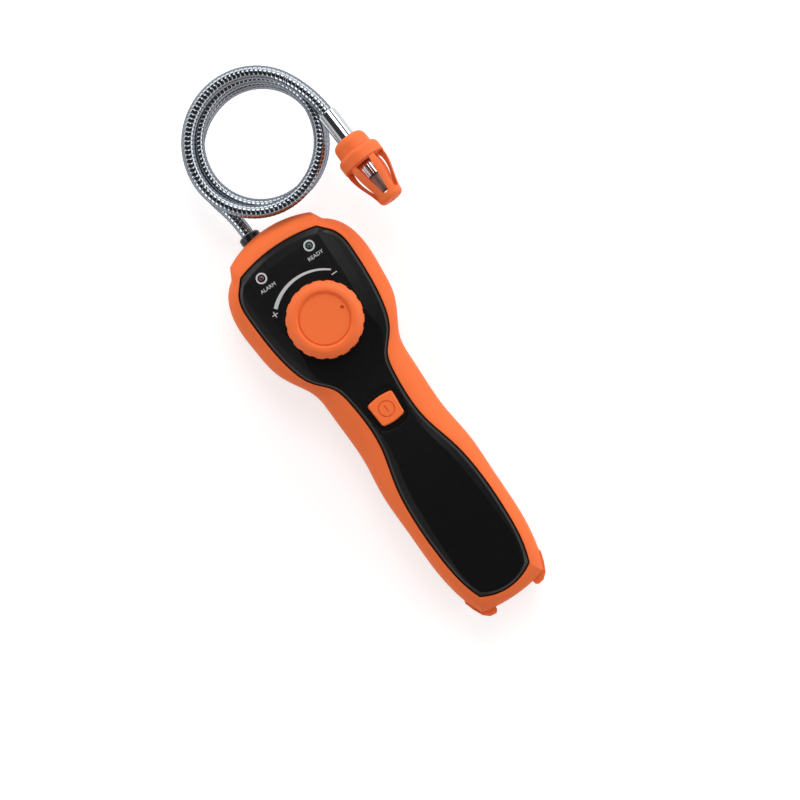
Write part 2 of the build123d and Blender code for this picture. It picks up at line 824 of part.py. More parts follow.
# Sounder over the slots in the back
with BuildPart() as sounder:
    with BuildSketch(Plane.XY.offset(floor_wall)):
        with Locations((0, sounder_y)):
            Circle(sounder_radius)
            Circle(sounder_radius - 1.4, mode=Mode.SUBTRACT)
    extrude(amount=1.2)
    with BuildSketch(Plane.XY.offset(floor_wall + 1.2)):
        with Locations((0, sounder_y)):
            Circle(sounder_radius)
    extrude(amount=3.4)
finish(sounder, "sounder")

# Four AA cells in two columns, the columns facing opposite ways
cell_z = door_thickness + 0.75 + cell_radius
cell_places = []
for column in (-1, 1):
    for row in (0, 1):
        cell_places.append((column, row))
for number, (column, row) in enumerate(cell_places, start=1):
    pair_low_y = bay_low_y + (bay_length - 2 * (cell_length + nub_length)) / 2
    low_y = pair_low_y + row * (cell_length + nub_length)
    with BuildPart() as cell:
        flat_y = low_y if column < 0 else low_y + nub_length
        nub_y = low_y + cell_length if column < 0 else low_y
        centre = (column * (cell_radius + cell_gap), cell_z)
        with BuildSketch(Plane.XZ.offset(-flat_y)):
            with Locations(centre):
                Circle(cell_radius)
        extrude(amount=-cell_length)
        with BuildSketch(Plane.XZ.offset(-nub_y)):
            with Locations(centre):
                Circle(nub_radius)
        extrude(amount=-nub_length)
    finish(cell, f"battery_cell_{number}")

# Bowed leaf contacts at both ends of the bay
leaf_reach = (bay_length - 2 * (cell_length + nub_length)) / 2
with BuildPart() as battery_contacts:
    for end_y, towards in ((bay_top_y, -1), (bay_low_y, 1)):
        for column in (-1, 1):
            with BuildSketch(Plane.YZ.offset(column * (cell_radius + cell_gap) - 4.0)):
                with BuildLine():
                    ThreePointArc((end_y, cell_z - 5.5), (end_y + towards * leaf_reach, cell_z), (end_y, cell_z + 5.5))
                    Line((end_y, cell_z + 5.5), (end_y, cell_z + 4.9))
                    ThreePointArc((end_y, cell_z + 4.9), (end_y + towards * (leaf_reach - 0.45), cell_z), (end_y, cell_z - 4.9))
                    Line((end_y, cell_z - 4.9), (end_y, cell_z - 5.5))
                make_face()
            extrude(amount=8.0)
finish(battery_contacts, "battery_contacts")

# Gooseneck: a straight stub out of the gland, two and a quarter turns stacked towards the face side,
# then an arc that flares into the probe
with BuildLine() as root_line:
    Line((neck_x, gland_low_y - 2.0, neck_z), (neck_x, gland_top_y, neck_z))
    lean_arc = TangentArc((neck_x, gland_top_y, neck_z), (neck_x - 2.3, 72.0, neck_z + 0.5), tangent=(0, 1, 0))

turn_points = []
for quarter, radius in enumerate(turn_radii):
    angle = radians(90.0 - 90.0 * quarter)
    turn_points.append(
        (
            coil_x + radius * cos(angle),
            coil_y + radius * sin(angle),
            neck_z + 2.5 + turn_rise * quarter / 4,
        )
    )
last_x, last_y, last_z = turn_points[-1]
flare_radius = probe_x - last_x
flare_angle = radians(flare_turn)
flare_point = (
    last_x + (flare_radius - flare_tuck) * cos(flare_angle),
    last_y - flare_radius * (1 - sin(flare_angle)),
    last_z + 1.0,
)
probe_start = Vector(probe_x, probe_y, last_z + 1.0 + flare_rise)
with BuildLine() as coil_line:
    bend = TangentArc(lean_arc @ 1, turn_points[0], tangent=lean_arc % 1)
    for point in turn_points[1:]:
        bend = TangentArc(bend @ 1, point, tangent=bend % 1)
    flare_arc = TangentArc(bend @ 1, flare_point, tangent=bend % 1)
with BuildLine() as tip_line:
    tip_arc = TangentArc(flare_arc @ 1, probe_start, tangent=flare_arc % 1)
    probe_direction = tip_arc % 1
    Line(probe_start, probe_start + probe_direction * (tube_socket - 0.2))

neck_length = 0
for name, path in (("neck_root", root_line), ("neck_coil", coil_line), ("neck_tip", tip_line)):
    route = path.wires()[0]
    with BuildPart() as neck_piece:
        with BuildSketch(Plane(origin=route @ 0, z_dir=route % 0)):
            Circle(neck_radius)
        sweep(path=route)
    neck_length += route.length
    finish(neck_piece, name)
print("Gooseneck length", round(neck_length, 1))

# Probe pieces are turned about one axis; a point of a profile is a radius and a distance from the neck
probe_side = Vector(1, 0, 0) - probe_direction * Vector(1, 0, 0).dot(probe_direction)
probe_side = probe_side.normalized()
probe_profile = Plane(origin=probe_start, x_dir=probe_side, z_dir=probe_side.cross(probe_direction))
probe_cross = Plane(origin=probe_start, x_dir=probe_side, z_dir=probe_direction)
probe_axis = Axis(probe_start, probe_direction)
neck_bore = neck_radius + 0.15

with BuildPart() as probe_tube:
    with BuildSketch(probe_profile):
        with BuildLine():
            Polyline(
                (neck_bore, 0),
                (tube_radius - 0.4, 0),
                (tube_radius, 0.5),
                (tube_radius, tube_length + 3.0),
                (neck_bore, tube_length + 3.0),
                close=True,
            )
        make_face()
    revolve(axis=probe_axis)
finish(probe_tube, "probe_tube")

# Socket: rounded collar with a step ring, bored for the tube and open at the front
ring_start = tube_length + collar_length
ring_end = ring_start + ring_length
socket_bore = ring_radius - 2.2
with BuildPart() as sensor_socket:
    with BuildSketch(probe_profile):
        with BuildLine():
            Polyline((tube_radius + fit_gap, tube_length), (tube_radius + 0.9, tube_length))
            ThreePointArc(
                (tube_radius + 0.9, tube_length),
                (collar_radius - 0.9, tube_length + 1.0),
                (collar_radius, tube_length + 3.2),
            )
            Polyline((collar_radius, tube_length + 3.2), (collar_radius + 0.2, ring_start - 0.6))
            ThreePointArc(
                (collar_radius + 0.2, ring_start - 0.6),
                (ring_radius - 0.5, ring_start + 0.5),
                (ring_radius, ring_start + 2.0),
            )
            Polyline(
                (ring_radius, ring_start + 2.0),
                (ring_radius, ring_end),
                (socket_bore, ring_end),
                (socket_bore, ring_start + 0.5),
                (tube_radius + 0.05, ring_start + 0.5),
                (tube_radius + 0.05, tube_length),
            )
        make_face()
    revolve(axis=probe_axis)
finish(sensor_socket, "sensor_socket")

# Sensor: base disc, steel can, insulating ring and the porous element
base_start = ring_start + 0.6
base_end = base_start + 3.0
can_end = base_end + can_length
with BuildPart() as sensor_base:
    with BuildSketch(probe_cross.offset(base_start)):
        Circle(socket_bore - 0.1)
    extrude(amount=2.0)
    with BuildSketch(probe_cross.offset(base_start + 2.0)):
        Circle(can_radius + 1.1)
    extrude(amount=1.0)
finish(sensor_base, "sensor_base")

with BuildPart() as sensor_can:
    with BuildSketch(probe_cross.offset(base_end)):
        Circle(can_radius)
    extrude(amount=can_length)
finish(sensor_can, "sensor_can")

with BuildPart() as sensor_ring:
    with BuildSketch(probe_cross.offset(can_end)):
        Circle(element_radius + 0.25)
    extrude(amount=0.8)
finish(sensor_ring, "sensor_ring")

with BuildPart() as sensor_element:
    with BuildSketch(probe_cross.offset(can_end + 0.8)):
        Circle(element_radius)
    extrude(amount=element_length, taper=3.0)
    fillet(sensor_element.faces().sort_by(probe_axis)[-1].edges(), 0.6)
finish(sensor_element, "sensor_element")

# Guard: a threaded skirt inside the socket, six tapering ribs and a solid rounded tip
skirt_start = base_start + 2.0 + 0.2
guard_end = ring_end + guard_length
window_start = ring_end + 0.4
window_end = guard_end - 3.6
with BuildPart() as sensor_guard:
    with BuildSketch(probe_profile):
        with BuildLine():
            Polyline((socket_bore - 0.05, skirt_start), (socket_bore - 0.05, ring_end + 0.05))
            Polyline((socket_bore - 0.05, ring_end + 0.05), (ring_radius - 0.4, ring_end + 0.05))
            Spline(
                (ring_radius - 0.4, ring_end + 0.05),
                (ring_radius - 1.1, ring_end + 7.0),
                (guard_tip_radius + 1.1, guard_end - 7.0),
                (guard_tip_radius, guard_end - 2.0),
            )
            ThreePointArc(
                (guard_tip_radius, guard_end - 2.0),
                (guard_tip_radius - 0.7, guard_end - 0.6),
                (guard_tip_radius - 2.2, guard_end),
            )
            Polyline((guard_tip_radius - 2.2, guard_end), (1.2, guard_end), (1.2, guard_end - 2.6))
            Polyline((1.2, guard_end - 2.6), (guard_tip_radius - 2.4, guard_end - 2.6))
            Spline(
                (guard_tip_radius - 2.4, guard_end - 2.6),
                (guard_tip_radius + 1.0 - guard_wall, guard_end - 7.0),
                (ring_radius - 1.2 - guard_wall, ring_end + 7.0),
                (socket_bore - guard_wall, ring_end),
            )
            Polyline((socket_bore - guard_wall, ring_end), (socket_bore - guard_wall, skirt_start))
            Polyline((socket_bore - guard_wall, skirt_start), (socket_bore - 0.05, skirt_start))
        make_face()
    revolve(axis=probe_axis)
    for rib in range(rib_count):
        turn = rib_turn + (rib + 0.5) * 360 / rib_count
        across = probe_side.rotate(Axis((0, 0, 0), probe_direction), turn)
        window = Plane(origin=probe_start, x_dir=across.cross(probe_direction), z_dir=across)
        start_half = ring_radius * sin(radians(180 / rib_count)) - rib_width / 2
        end_half = guard_tip_radius * sin(radians(180 / rib_count)) - rib_width / 2
        along = 1 if window.y_dir.dot(probe_direction) > 0 else -1
        with BuildSketch(window):
            with BuildLine():
                Polyline(
                    (-end_half, along * (window_end - end_half)),
                    (-start_half, along * window_start),
                    (start_half, along * window_start),
                    (end_half, along * (window_end - end_half)),
                )
                ThreePointArc(
                    (end_half, along * (window_end - end_half)),
                    (0, along * window_end),
                    (-end_half, along * (window_end - end_half)),
                )
            make_face()
        extrude(amount=ring_radius + 2.0, mode=Mode.SUBTRACT)
finish(sensor_guard, "sensor_guard")
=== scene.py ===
import bpy
import bmesh
from math import atan2, cos, floor, pi, radians, sin
from mathutils import Matrix, Vector


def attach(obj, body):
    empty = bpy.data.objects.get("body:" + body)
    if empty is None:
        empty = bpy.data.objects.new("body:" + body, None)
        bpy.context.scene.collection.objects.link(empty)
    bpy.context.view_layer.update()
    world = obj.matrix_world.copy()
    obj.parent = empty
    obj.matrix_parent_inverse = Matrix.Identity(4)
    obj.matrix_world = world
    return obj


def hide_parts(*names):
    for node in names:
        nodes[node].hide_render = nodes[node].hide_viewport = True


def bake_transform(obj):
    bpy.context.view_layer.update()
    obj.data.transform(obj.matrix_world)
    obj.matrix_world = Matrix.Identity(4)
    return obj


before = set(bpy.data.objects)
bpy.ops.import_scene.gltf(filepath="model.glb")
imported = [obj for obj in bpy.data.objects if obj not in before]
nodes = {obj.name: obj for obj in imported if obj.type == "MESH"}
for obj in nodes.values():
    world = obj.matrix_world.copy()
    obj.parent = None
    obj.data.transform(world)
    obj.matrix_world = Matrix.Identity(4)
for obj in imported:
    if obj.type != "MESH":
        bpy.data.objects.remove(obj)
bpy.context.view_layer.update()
mm = 0.001

# Camera straight above the face, rolled so that the neck end points to the upper left
cameraSet = {
    "aim": (7.4, -49.8),
    "faceHeight": 36.0,
    "distance": 900.0,
    "acrossPhoto": 368.0,
    "roll": 34.6,
    "sensor": 36.0,
}

roll = radians(cameraSet["roll"])
photoRight = Vector((cos(roll), -sin(roll), 0))
photoUp = Vector((sin(roll), cos(roll), 0))


def makeCamera(settings):
    data = bpy.data.cameras.new("camera")
    camera = bpy.data.objects.new("camera", data)
    bpy.context.scene.collection.objects.link(camera)
    data.sensor_width = settings["sensor"]
    data.lens = settings["sensor"] * settings["distance"] / settings["acrossPhoto"]
    height = settings["faceHeight"] + settings["distance"]
    place = Matrix((photoRight, photoUp, Vector((0, 0, 1)))).transposed().to_4x4()
    place.translation = Vector((*settings["aim"], height)) * mm
    camera.matrix_world = place
    bpy.context.scene.camera = camera


makeCamera(cameraSet)
print("camera ready")


# Small helpers for meshes drawn in millimetres
def finishMesh(bm, name, material, body=None, smooth=True):
    bm.transform(Matrix.Scale(mm, 4))
    bmesh.ops.recalc_face_normals(bm, faces=bm.faces)
    mesh = bpy.data.meshes.new(name)
    bm.to_mesh(mesh)
    bm.free()
    mesh.shade_smooth() if smooth else mesh.shade_flat()
    mesh.materials.append(material)
    piece = bpy.data.objects.new(name, mesh)
    bpy.context.scene.collection.objects.link(piece)
    if body:
        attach(piece, body)
    return piece


def thicken(bm, height):
    lifted = bmesh.ops.extrude_face_region(bm, geom=bm.faces[:])["geom"]
    points = [g for g in lifted if isinstance(g, bmesh.types.BMVert)]
    bmesh.ops.translate(bm, verts=points, vec=(0, 0, height))


# Node helpers
def addNode(tree, kind, settings=None, inputs=None):
    node = tree.nodes.new(kind)
    for key, value in (settings or {}).items():
        setattr(node, key, value)
    for key, value in (inputs or {}).items():
        if isinstance(value, bpy.types.NodeSocket):
            tree.links.new(value, node.inputs[key])
        else:
            node.inputs[key].default_value = value
    return node


def mixColours(tree, factor, first, second):
    mix = addNode(tree, "ShaderNodeMix", {"data_type": "RGBA"}, {0: factor, 6: first, 7: second})
    return mix.outputs[2]


def calculate(tree, operation, first, second=0.0, third=0.0):
    node = addNode(tree, "ShaderNodeMath", {"operation": operation}, {0: first, 1: second, 2: third})
    return node.outputs[0]


def newGroup(name, inputs, outputs):
    group = bpy.data.node_groups.new(name, "ShaderNodeTree")
    for key, value in inputs.items():
        kind = "NodeSocketColor" if isinstance(value, tuple) else "NodeSocketFloat"
        group.interface.new_socket(key, in_out="INPUT", socket_type=kind).default_value = value
    for key, kind in outputs.items():
        group.interface.new_socket(key, in_out="OUTPUT", socket_type=kind)
    return group, group.nodes.new("NodeGroupInput"), group.nodes.new("NodeGroupOutput")


# Moulded surface: fine spark texture, faint flow mottling and slightly uneven gloss
def makeMouldedGroup():
    group, given, out = newGroup(
        "mouldedSurface",
        {
            "Colour": (0.5, 0.5, 0.5, 1.0),
            "Roughness": 0.5,
            "Grain Scale": 3200.0,
            "Mottle": 0.05,
            "Gloss Variation": 0.08,
        },
        {"Colour": "NodeSocketColor", "Roughness": "NodeSocketFloat", "Height": "NodeSocketFloat"},
    )
    place = addNode(group, "ShaderNodeTexCoord").outputs["Object"]
    grain = addNode(
        group,
        "ShaderNodeTexNoise",
        inputs={"Vector": place, "Scale": given.outputs["Grain Scale"], "Detail": 2.0, "Roughness": 0.6},
    ).outputs[0]
    flow = addNode(
        group, "ShaderNodeTexNoise", inputs={"Vector": place, "Scale": 45.0, "Detail": 4.0, "Roughness": 0.55}
    ).outputs[0]
    fine = addNode(
        group, "ShaderNodeTexNoise", inputs={"Vector": place, "Scale": 420.0, "Detail": 3.0, "Roughness": 0.6}
    ).outputs[0]
    swing = calculate(group, "MULTIPLY_ADD", flow, 2.0, -1.0)
    shade = calculate(group, "MULTIPLY_ADD", swing, given.outputs["Mottle"], 1.0)
    tinted = addNode(
        group,
        "ShaderNodeVectorMath",
        {"operation": "SCALE"},
        {0: given.outputs["Colour"], "Scale": shade},
    ).outputs[0]
    gloss = calculate(group, "MULTIPLY_ADD", fine, 2.0, -1.0)
    unevenness, basic = given.outputs["Gloss Variation"], given.outputs["Roughness"]
    rough = calculate(group, "MULTIPLY_ADD", gloss, unevenness, basic)
    group.links.new(tinted, out.inputs["Colour"])
    group.links.new(rough, out.inputs["Roughness"])
    group.links.new(grain, out.inputs["Height"])
    return group


mouldedGroup = makeMouldedGroup()


# Metal surface: rubbed micro scratches in the gloss and cloudy plating
def makePlatedGroup():
    group, given, out = newGroup(
        "platedSurface",
        {"Colour": (0.8, 0.8, 0.8, 1.0), "Roughness": 0.1, "Cloud": 0.05, "Rub": 0.05},
        {"Colour": "NodeSocketColor", "Roughness": "NodeSocketFloat", "Height": "NodeSocketFloat"},
    )
    place = addNode(group, "ShaderNodeTexCoord").outputs["Object"]
    cloud = addNode(
        group, "ShaderNodeTexNoise", inputs={"Vector": place, "Scale": 90.0, "Detail": 3.0, "Roughness": 0.5}
    ).outputs[0]
    rub = addNode(
        group, "ShaderNodeTexNoise", inputs={"Vector": place, "Scale": 900.0, "Detail": 4.0, "Roughness": 0.7}
    ).outputs[0]
    swing = calculate(group, "MULTIPLY_ADD", cloud, 2.0, -1.0)
    shade = calculate(group, "MULTIPLY_ADD", swing, given.outputs["Cloud"], 1.0)
    tinted = addNode(
        group, "ShaderNodeVectorMath", {"operation": "SCALE"}, {0: given.outputs["Colour"], "Scale": shade}
    ).outputs[0]
    rubbed = calculate(group, "MULTIPLY_ADD", rub, 2.0, -1.0)
    rough = calculate(group, "MULTIPLY_ADD", rubbed, given.outputs["Rub"], given.outputs["Roughness"])
    group.links.new(tinted, out.inputs["Colour"])
    group.links.new(rough, out.inputs["Roughness"])
    group.links.new(rub, out.inputs["Height"])
    return group


platedGroup = makePlatedGroup()


def startMaterial(name):
    material = bpy.data.materials.new(name)
    material.use_nodes = True
    tree = material.node_tree
    tree.nodes.clear()
    shader = tree.nodes.new("ShaderNodeBsdfPrincipled")
    out = tree.nodes.new("ShaderNodeOutputMaterial")
    tree.links.new(shader.outputs[0], out.inputs[0])
    return material, tree, shader


def placeGroup(tree, group, inputs):
    node = tree.nodes.new("ShaderNodeGroup")
    node.node_tree = group
    for key, value in inputs.items():
        node.inputs[key].default_value = value
    return node


def addBump(tree, shader, height, strength, distance, edge=0.0):
    bump = addNode(
        tree, "ShaderNodeBump", inputs={"Strength": strength, "Distance": distance * mm, "Height": height}
    )
    if edge:
        rounded = addNode(tree, "ShaderNodeBevel", {"samples": 6}, {"Radius": edge * mm})
        tree.links.new(rounded.outputs[0], bump.inputs["Normal"])
    tree.links.new(bump.outputs[0], shader.inputs["Normal"])


# Colours are linear values
mouldedSet = {
    "softOrange": {
        "colour": (0.94, 0.175, 0.043, 1), "roughness": 0.64, "grain": 2600.0, "mottle": 0.05,
        "gloss": 0.06, "specular": 0.2, "bump": 0.25, "depth": 0.05, "edge": 0.35, "sheen": 0.0,
    },
    "orangePlastic": {
        "colour": (0.94, 0.172, 0.04, 1), "roughness": 0.5, "grain": 3400.0, "mottle": 0.035,
        "gloss": 0.07, "specular": 0.27, "bump": 0.18, "depth": 0.04, "edge": 0.25, "sheen": 0.0,
    },
    "blackPlastic": {
        "colour": (0.0034, 0.0034, 0.0035, 1), "roughness": 0.3, "grain": 3800.0, "mottle": 0.12,
        "gloss": 0.06, "specular": 0.38, "bump": 0.2, "depth": 0.04, "edge": 0.2, "sheen": 0.0,
    },
    "boardGreen": {
        "colour": (0.01, 0.11, 0.035, 1), "roughness": 0.35, "grain": 900.0, "mottle": 0.2,
        "gloss": 0.08, "specular": 0.5, "bump": 0.2, "depth": 0.03, "edge": 0.0, "sheen": 0.0,
    },
    "componentBlack": {
        "colour": (0.012, 0.012, 0.013, 1), "roughness": 0.5, "grain": 2400.0, "mottle": 0.1,
        "gloss": 0.08, "specular": 0.4, "bump": 0.25, "depth": 0.03, "edge": 0.1, "sheen": 0.0,
    },
    "connectorWhite": {
        "colour": (0.72, 0.7, 0.62, 1), "roughness": 0.4, "grain": 2400.0, "mottle": 0.05,
        "gloss": 0.06, "specular": 0.45, "bump": 0.15, "depth": 0.03, "edge": 0.1, "sheen": 0.0,
    },
    "cellJacket": {
        "colour": (0.04, 0.05, 0.07, 1), "roughness": 0.28, "grain": 700.0, "mottle": 0.15,
        "gloss": 0.08, "specular": 0.5, "bump": 0.08, "depth": 0.03, "edge": 0.2, "sheen": 0.0,
    },
    "printWhite": {
        "colour": (0.56, 0.57, 0.58, 1), "roughness": 0.55, "grain": 3000.0, "mottle": 0.06,
        "gloss": 0.05, "specular": 0.35, "bump": 0.1, "depth": 0.01, "edge": 0.0, "sheen": 0.0,
    },
}
platedSet = {
    "tubeChrome": {
        "colour": (0.62, 0.64, 0.67, 1), "roughness": 0.07, "cloud": 0.03, "rub": 0.03, "bump": 0.03,
    },
    "nickelSteel": {
        "colour": (0.62, 0.6, 0.56, 1), "roughness": 0.2, "cloud": 0.06, "rub": 0.08, "bump": 0.08,
    },
}


def makeMoulded(name, chosen):
    material, tree, shader = startMaterial(name)
    surface = placeGroup(
        tree,
        mouldedGroup,
        {
            "Colour": chosen["colour"],
            "Roughness": chosen["roughness"],
            "Grain Scale": chosen["grain"],
            "Mottle": chosen["mottle"],
            "Gloss Variation": chosen["gloss"],
        },
    )
    tree.links.new(surface.outputs["Colour"], shader.inputs["Base Color"])
    tree.links.new(surface.outputs["Roughness"], shader.inputs["Roughness"])
    shader.inputs["Specular IOR Level"].default_value = chosen["specular"]
    shader.inputs["Sheen Weight"].default_value = chosen["sheen"]
    addBump(tree, shader, surface.outputs["Height"], chosen["bump"], chosen["depth"], chosen["edge"])
    return material


def makePlated(name, chosen):
    material, tree, shader = startMaterial(name)
    surface = placeGroup(
        tree,
        platedGroup,
        {
            "Colour": chosen["colour"],
            "Roughness": chosen["roughness"],
            "Cloud": chosen["cloud"],
            "Rub": chosen["rub"],
        },
    )
    tree.links.new(surface.outputs["Colour"], shader.inputs["Base Color"])
    tree.links.new(surface.outputs["Roughness"], shader.inputs["Roughness"])
    shader.inputs["Metallic"].default_value = 1.0
    addBump(tree, shader, surface.outputs["Height"], chosen["bump"], 0.02)
    return material


finishes = {name: makeMoulded(name, chosen) for name, chosen in mouldedSet.items()}
finishes.update({name: makePlated(name, chosen) for name, chosen in platedSet.items()})


# Neck metal: bright crowns, grooves darkened with painted shade, read from the rib attribute
neckMetalSet = {
    "crown": (0.31, 0.335, 0.365, 1),
    # groove: painted shade colour for the hollows between the ribs
    "groove": (0.02, 0.028, 0.04, 1),
    "edgeTint": (0.12, 0.15, 0.22, 1),
    "crownFrom": 0.55,
    "roughness": 0.13,
    "grooveDull": 0.3,
    "cloud": 0.05,
    "rub": 0.06,
    "bump": 0.06,
}


def makeNeckChrome(chosen):
    material, tree, shader = startMaterial("neckChrome")
    surface = placeGroup(
        tree,
        platedGroup,
        {
            "Colour": chosen["crown"],
            "Roughness": chosen["roughness"],
            "Cloud": chosen["cloud"],
            "Rub": chosen["rub"],
        },
    )
    rib = addNode(tree, "ShaderNodeAttribute", {"attribute_name": "rib"}).outputs["Fac"]
    crown = addNode(
        tree,
        "ShaderNodeMapRange",
        {"interpolation_type": "SMOOTHSTEP"},
        {"Value": rib, "From Min": 0.0, "From Max": chosen["crownFrom"]},
    ).outputs[0]
    # The hollows between the ribs take the painted shade colour, the crowns keep the metal's own colour
    colour = mixColours(tree, crown, chosen["groove"], surface.outputs["Colour"])
    dull = calculate(tree, "MULTIPLY_ADD", crown, -chosen["grooveDull"], chosen["grooveDull"])
    rough = calculate(tree, "ADD", surface.outputs["Roughness"], dull)
    tree.links.new(colour, shader.inputs["Base Color"])
    tree.links.new(rough, shader.inputs["Roughness"])
    shader.inputs["Metallic"].default_value = 1.0
    shader.inputs["Specular Tint"].default_value = chosen["edgeTint"]
    addBump(tree, shader, surface.outputs["Height"], chosen["bump"], 0.02)
    return material


# Sintered cap of the sensor: greyish brown metal powder pressed into a plug
def makeSinter():
    material, tree, shader = startMaterial("sensorCeramic")
    place = addNode(tree, "ShaderNodeTexCoord").outputs["Object"]
    grains = addNode(
        tree, "ShaderNodeTexVoronoi", inputs={"Vector": place, "Scale": 2300.0, "Randomness": 1.0}
    ).outputs["Distance"]
    stain = addNode(
        tree, "ShaderNodeTexNoise", inputs={"Vector": place, "Scale": 320.0, "Detail": 4.0}
    ).outputs[0]
    colour = mixColours(tree, stain, (0.12, 0.09, 0.07, 1), (0.34, 0.29, 0.25, 1))
    tree.links.new(colour, shader.inputs["Base Color"])
    tree.links.new(calculate(tree, "MULTIPLY_ADD", grains, 0.3, 0.42), shader.inputs["Roughness"])
    shader.inputs["Metallic"].default_value = 0.55
    addBump(tree, shader, grains, 0.5, 0.06)
    return material


# Tinted lens of a lamp, dark while it isn't lit: a deep and a bright colour for each
lensSet = {
    "redLens": ((0.03, 0.001, 0.002, 1), (0.11, 0.004, 0.006, 1)),
    "greenLens": ((0.0, 0.018, 0.008, 1), (0.006, 0.09, 0.032, 1)),
}


def makeLens(name, deep, bright):
    material, tree, shader = startMaterial(name)
    place = addNode(tree, "ShaderNodeTexCoord").outputs["Object"]
    cloud = addNode(
        tree, "ShaderNodeTexNoise", inputs={"Vector": place, "Scale": 700.0, "Detail": 2.0}
    ).outputs[0]
    colour = mixColours(tree, cloud, bright, deep)
    tree.links.new(colour, shader.inputs["Base Color"])
    tree.links.new(calculate(tree, "MULTIPLY_ADD", cloud, 0.04, 0.04), shader.inputs["Roughness"])
    shader.inputs["Coat Weight"].default_value = 0.6
    shader.inputs["Coat Roughness"].default_value = 0.03
    shader.inputs["Subsurface Weight"].default_value = 0.15
    shader.inputs["Subsurface Radius"].default_value = (0.001, 0.0005, 0.0005)
    return material


finishes["neckChrome"] = makeNeckChrome(neckMetalSet)
finishes["sensorCeramic"] = makeSinter()
for name, (deep, bright) in lensSet.items():
    finishes[name] = makeLens(name, deep, bright)

nodeFinish = {
    "bumper": "softOrange",
    "dial": "orangePlastic",
    "power_button": "orangePlastic",
    "sensor_guard": "orangePlastic",
    "sensor_socket": "orangePlastic",
    "front_shell": "blackPlastic",
    "rear_shell": "blackPlastic",
    "battery_door": "blackPlastic",
    "neck_gland": "blackPlastic",
    "sensor_base": "componentBlack",
    "sensor_ring": "componentBlack",
    "sounder": "componentBlack",
    "control_chips": "componentBlack",
    "tact_switch": "componentBlack",
    "switch_plunger": "componentBlack",
    "pot_body": "componentBlack",
    "main_board": "boardGreen",
    "sensor_connector": "connectorWhite",
    "alarm_lamp": "redLens",
    "ready_lamp": "greenLens",
    "probe_tube": "tubeChrome",
    "neck_nut": "nickelSteel",
    "case_screws": "nickelSteel",
    "board_screws": "nickelSteel",
    "battery_contacts": "nickelSteel",
    "pot_shaft": "nickelSteel",
    "sensor_can": "tubeChrome",
    "sensor_element": "sensorCeramic",
    "neck_root": "neckChrome",
    "neck_coil": "neckChrome",
    "neck_tip": "neckChrome",
}
for name, node in nodes.items():
    finish = nodeFinish.get(name, "cellJacket")
    node.data.materials.clear()
    node.data.materials.append(finishes[finish])
print("finishes on", len(nodes), "nodes")


# Gooseneck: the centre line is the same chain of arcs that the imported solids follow, in millimetres
neckSet = {
    "radius": 3.15,
    "grooveRadius": 2.93,
    "pitch": 2.1,
    "ribProfile": (
        (0.0, 0.0), (0.06, 0.66), (0.15, 0.93), (0.32, 1.0),
        (0.68, 1.0), (0.85, 0.93), (0.94, 0.66), (1.0, 0.0),
    ),
    "steps": 28,
    "x": -7.3,
    "z": 18.0,
    "start": 45.0,
    "glandTop": 54.4,
    "leanEnd": (-9.6, 72.0, 18.5),
    "coilCentre": (21.9, 85.2),
    "turnRadii": (28.9, 29.2, 28.7, 29.0, 30.2, 28.7, 29.9, 33.6, 32.4),
    "firstRise": 2.5,
    "turnRise": 6.5,
    "probe": (54.6, 78.0),
    "flareTuck": 2.2,
    "flareAngle": 30.0,
    "flareRise": 1.0,
    "probeRise": 1.5,
    "tail": 4.6,
}


def straightRun(start, end):
    start, end = Vector(start), Vector(end)
    run = end - start
    return {"start": start, "tangent": run.normalized(), "normal": None, "length": run.length}


def arcRun(start, tangent, end):
    chord = Vector(end) - start
    normal = (chord - tangent * chord.dot(tangent)).normalized()
    radius = chord.length_squared / (2 * chord.dot(normal))
    angle = 2 * atan2(chord.dot(normal), chord.dot(tangent))
    return {"start": start, "tangent": tangent, "normal": normal, "radius": radius, "length": radius * angle}


def runPlace(run, along):
    if run["normal"] is None:
        return run["start"] + run["tangent"] * along, Matrix.Identity(3)
    angle = along / run["radius"]
    place = run["start"] + run["tangent"] * run["radius"] * sin(angle)
    place += run["normal"] * run["radius"] * (1 - cos(angle))
    return place, Matrix.Rotation(angle, 3, run["tangent"].cross(run["normal"]))


def joinRun(route, end):
    last = route[-1]
    place, turn = runPlace(last, last["length"])
    route.append(arcRun(place, turn @ last["tangent"], end))


def neckRoute(settings):
    bore = (settings["x"], settings["z"])
    route = [straightRun((bore[0], settings["start"], bore[1]), (bore[0], settings["glandTop"], bore[1]))]
    joinRun(route, settings["leanEnd"])
    rootEnd = sum(run["length"] for run in route)
    coilX, coilY = settings["coilCentre"]
    for quarter, radius in enumerate(settings["turnRadii"]):
        angle = radians(90 - 90 * quarter)
        point = (
            coilX + radius * cos(angle),
            coilY + radius * sin(angle),
            settings["z"] + settings["firstRise"] + settings["turnRise"] * quarter / 4,
        )
        joinRun(route, point)
    probeX, probeY = settings["probe"]
    flareRadius = probeX - point[0]
    flare = radians(settings["flareAngle"])
    flarePoint = (
        point[0] + (flareRadius - settings["flareTuck"]) * cos(flare),
        point[1] - flareRadius * (1 - sin(flare)),
        point[2] + settings["flareRise"],
    )
    joinRun(route, flarePoint)
    coilEnd = sum(run["length"] for run in route)
    joinRun(route, (probeX, probeY, point[2] + settings["flareRise"] + settings["probeRise"]))
    last = route[-1]
    place, turn = runPlace(last, last["length"])
    route.append(straightRun(place, place + turn @ last["tangent"] * settings["tail"]))
    return route, rootEnd, coilEnd


neckRuns, rootEnd, coilEnd = neckRoute(neckSet)
neckEnd = sum(run["length"] for run in neckRuns)

# A side direction is carried from run to run, so that the wound tube doesn't twist
carried = Vector((1, 0, 0))
reached = 0.0
for run in neckRuns:
    run["side"] = carried
    run["from"] = reached
    carried = runPlace(run, run["length"])[1] @ carried
    reached += run["length"]


